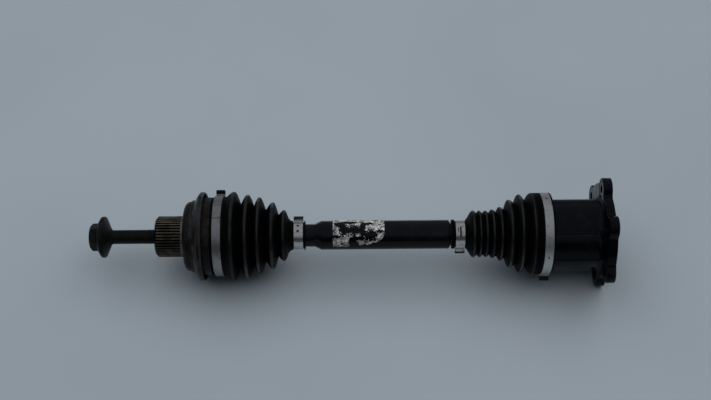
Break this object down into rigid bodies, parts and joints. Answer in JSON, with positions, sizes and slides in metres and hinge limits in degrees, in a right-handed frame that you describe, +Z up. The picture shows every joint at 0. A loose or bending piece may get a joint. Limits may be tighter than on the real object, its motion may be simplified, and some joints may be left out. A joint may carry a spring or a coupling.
{
  "type": "axle shaft",
  "caption": "Car drive axle: a bar with a splined ball joint at one end and a sliding tripod joint with a bolted flange at the other, each under a clamped bellows boot.",
  "frame": {"origin": "centre of the bolt circle on the flange's outer face", "axes": "+X along the axle, out of the flange's face; +Z up as it lies, through the middle of a housing lobe"},
  "size_m": [0.5155, 0.116, 0.1034],
  "materials": {
    "bolt_black": "black phosphate, satin",
    "forged_steel": "dark machined forging with light rust",
    "ring_steel": "dark pressed sheet",
    "bearing_steel": "ground, greased",
    "spring_steel": "blued spring wire",
    "boot_rubber": "black moulded rubber",
    "dull_band": "dull stainless strip",
    "bright_band": "bright stainless strip",
    "black_paint": "gloss black paint",
    "cap_sheet": "zinc-plated sheet"
  },
  "bodies": {
    "shaft": {"axle_bar": "black_paint", "inner_race": "bearing_steel", "race_circlip": "spring_steel", "outer_small_clamp": "bright_band", "inner_small_clamp": "bright_band", "tripod_spider": "bearing_steel", "spider_circlip": "spring_steel", "roller_clip_1": "spring_steel", "roller_clip_2": "spring_steel", "roller_clip_3": "spring_steel", "needles_1": "bearing_steel", "needles_2": "bearing_steel", "needles_3": "bearing_steel"},
    "upper_ball": {"ball_1": "bearing_steel"},
    "ball_cage": {"ball_cage": "bearing_steel", "ball_2": "bearing_steel", "ball_3": "bearing_steel", "ball_5": "bearing_steel", "ball_6": "bearing_steel", "outer_boot": "boot_rubber"},
    "lower_ball": {"ball_4": "bearing_steel"},
    "bell": {"outer_bell": "forged_steel", "dust_ring": "ring_steel", "axle_bolt": "bolt_black", "outer_large_clamp": "dull_band"},
    "roller_1": {"roller_1": "bearing_steel"},
    "roller_2": {"roller_2": "bearing_steel"},
    "roller_3": {"roller_3": "bearing_steel"},
    "inner_boot": {"inner_boot": "boot_rubber"},
    "tulip": {"tulip_housing": "black_paint", "grease_cap": "cap_sheet", "inner_large_clamp": "bright_band"}
  },
  "joints": [
    {"name": "ball_swing_vertical", "type": "hinge", "parent": "shaft", "child": "upper_ball", "pos_m": [-0.392, 0, 0], "axis": [0, 1, 0], "range_deg": [-15, 15]},
    {"name": "ball_swing_sideways", "type": "hinge", "parent": "upper_ball", "child": "ball_cage", "pos_m": [-0.392, 0, 0], "axis": [0, 0, 1], "range_deg": [-15, 15], "deforming": ["outer_boot"]},
    {"name": "bell_swing_sideways", "type": "hinge", "parent": "ball_cage", "child": "lower_ball", "pos_m": [-0.392, 0, 0], "axis": [0, 0, 1], "range_deg": [-15, 15]},
    {"name": "bell_swing_vertical", "type": "hinge", "parent": "lower_ball", "child": "bell", "pos_m": [-0.392, 0, 0], "axis": [0, 1, 0], "range_deg": [-15, 15]},
    {"name": "tulip_swing_sideways", "type": "hinge", "parent": "shaft", "child": "roller_1", "pos_m": [-0.042, 0, 0], "axis": [0, 0, 1], "range_deg": [-12, 12]},
    {"name": "tulip_swing_vertical", "type": "hinge", "parent": "roller_1", "child": "inner_boot", "pos_m": [-0.042, 0, 0], "axis": [0, 1, 0], "range_deg": [-12, 12], "deforming": ["inner_boot"]},
    {"name": "tulip_plunge", "type": "slide", "parent": "inner_boot", "child": "tulip", "axis": [1, 0, 0], "range_m": [-0.005, 0.012]},
    {"name": "roller_2_spin", "type": "hinge", "parent": "shaft", "child": "roller_2", "pos_m": [-0.042, 0, 0], "axis": [0, 0.866, -0.5], "continuous": true},
    {"name": "roller_3_spin", "type": "hinge", "parent": "shaft", "child": "roller_3", "pos_m": [-0.042, 0, 0], "axis": [0, -0.866, -0.5], "continuous": true}
  ],
  "couplings": [
    {"joint": "bell_swing_sideways", "follows": "ball_swing_sideways", "ratio": 1},
    {"joint": "bell_swing_vertical", "follows": "ball_swing_vertical", "ratio": 1}
  ]
}
